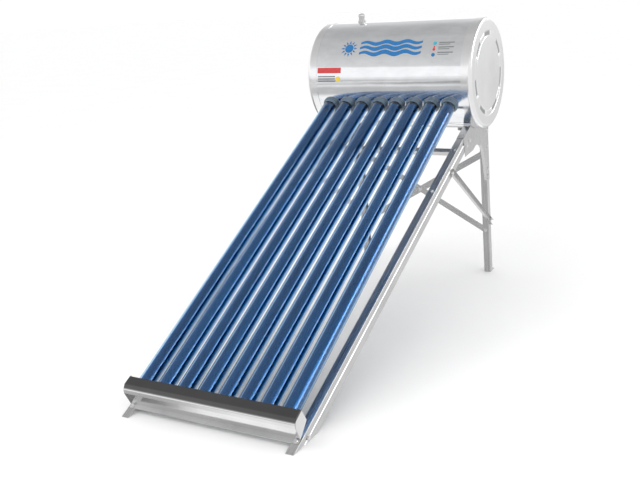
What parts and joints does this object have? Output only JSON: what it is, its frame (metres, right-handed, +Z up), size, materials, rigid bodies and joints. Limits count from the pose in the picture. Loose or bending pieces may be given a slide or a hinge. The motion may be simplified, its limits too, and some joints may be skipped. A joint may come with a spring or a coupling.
{
  "type": "solar water heater",
  "caption": "Compact thermosiphon solar water heater: a horizontal insulated steel tank on a bolted folded-steel stand, with sloping evacuated glass tubes held in a tail tray.",
  "frame": {"origin": "on the floor under the middle of the bounding box", "axes": "+X along the tank to the right-hand end cap, +Y from the tubes' low ends towards the tank's back, +Z up"},
  "size_m": [0.764, 1.9478, 1.2275],
  "materials": {
    "tank_steel": "polished",
    "cap_shell": "gloss",
    "inner_steel": "satin",
    "foam": "matte",
    "silicone": "satin",
    "dust_rubber": "satin",
    "port_steel": "satin",
    "magnesium": "matte",
    "cup_plastic": "satin",
    "frame_steel": "satin",
    "fastener_steel": "gloss",
    "tube_glass": "gloss",
    "absorber_coating": "gloss",
    "clip_steel": "gloss"
  },
  "bodies": {
    "frame_and_tank": {"tank_shell": "tank_steel", "end_cap_right": "cap_shell", "end_cap_left": "cap_shell", "inner_tank": "inner_steel", "insulation_foam": "foam", "tube_seals": "silicone", "dust_rings": "dust_rubber", "cold_inlet_nipple": "port_steel", "hot_outlet_nipple": "port_steel", "anode_plug": "port_steel", "anode_rod": "magnesium", "vent_nipple": "port_steel", "tail_tray": "frame_steel", "tray_end_right": "frame_steel", "tray_end_left": "frame_steel", "tube_cups": "cup_plastic", "rail_right": "frame_steel", "rail_left": "frame_steel", "leg_right": "frame_steel", "leg_left": "frame_steel", "gusset_right": "frame_steel", "gusset_left": "frame_steel", "side_brace_right": "frame_steel", "side_brace_left": "frame_steel", "cross_brace_front": "frame_steel", "cross_brace_rear": "frame_steel", "upper_crossbar": "frame_steel", "rear_feet": "frame_steel", "front_feet": "frame_steel", "frame_bolts": "fastener_steel", "frame_nuts": "fastener_steel", "tank_studs": "fastener_steel", "tank_stud_nuts": "fastener_steel"},
    "vent_breather": {"vent_cap": "fastener_steel"},
    "tube_1": {"tube_1_outer_glass": "tube_glass", "tube_1_absorber": "absorber_coating", "tube_1_clip": "clip_steel"},
    "tube_2": {"tube_2_outer_glass": "tube_glass", "tube_2_absorber": "absorber_coating", "tube_2_clip": "clip_steel"},
    "tube_3": {"tube_3_outer_glass": "tube_glass", "tube_3_absorber": "absorber_coating", "tube_3_clip": "clip_steel"},
    "tube_4": {"tube_4_outer_glass": "tube_glass", "tube_4_absorber": "absorber_coating", "tube_4_clip": "clip_steel"},
    "tube_5": {"tube_5_outer_glass": "tube_glass", "tube_5_absorber": "absorber_coating", "tube_5_clip": "clip_steel"},
    "tube_6": {"tube_6_outer_glass": "tube_glass", "tube_6_absorber": "absorber_coating", "tube_6_clip": "clip_steel"},
    "tube_7": {"tube_7_outer_glass": "tube_glass", "tube_7_absorber": "absorber_coating", "tube_7_clip": "clip_steel"},
    "tube_8": {"tube_8_outer_glass": "tube_glass", "tube_8_absorber": "absorber_coating", "tube_8_clip": "clip_steel"}
  },
  "joints": [
    {"name": "vent_cap_lift", "type": "slide", "parent": "frame_and_tank", "child": "vent_breather", "axis": [0, 0, 1], "range_m": [0, 0.004]},
    {"name": "tube_1_slide", "type": "slide", "parent": "frame_and_tank", "child": "tube_1", "axis": [0, 0.8846, 0.4664], "range_m": [0, 0.035]},
    {"name": "tube_2_slide", "type": "slide", "parent": "frame_and_tank", "child": "tube_2", "axis": [0, 0.8846, 0.4664], "range_m": [0, 0.035]},
    {"name": "tube_3_slide", "type": "slide", "parent": "frame_and_tank", "child": "tube_3", "axis": [0, 0.8846, 0.4664], "range_m": [0, 0.035]},
    {"name": "tube_4_slide", "type": "slide", "parent": "frame_and_tank", "child": "tube_4", "axis": [0, 0.8846, 0.4664], "range_m": [0, 0.035]},
    {"name": "tube_5_slide", "type": "slide", "parent": "frame_and_tank", "child": "tube_5", "axis": [0, 0.8846, 0.4664], "range_m": [0, 0.035]},
    {"name": "tube_6_slide", "type": "slide", "parent": "frame_and_tank", "child": "tube_6", "axis": [0, 0.8846, 0.4664], "range_m": [0, 0.035]},
    {"name": "tube_7_slide", "type": "slide", "parent": "frame_and_tank", "child": "tube_7", "axis": [0, 0.8846, 0.4664], "range_m": [0, 0.035]},
    {"name": "tube_8_slide", "type": "slide", "parent": "frame_and_tank", "child": "tube_8", "axis": [0, 0.8846, 0.4664], "range_m": [0, 0.035]}
  ]
}
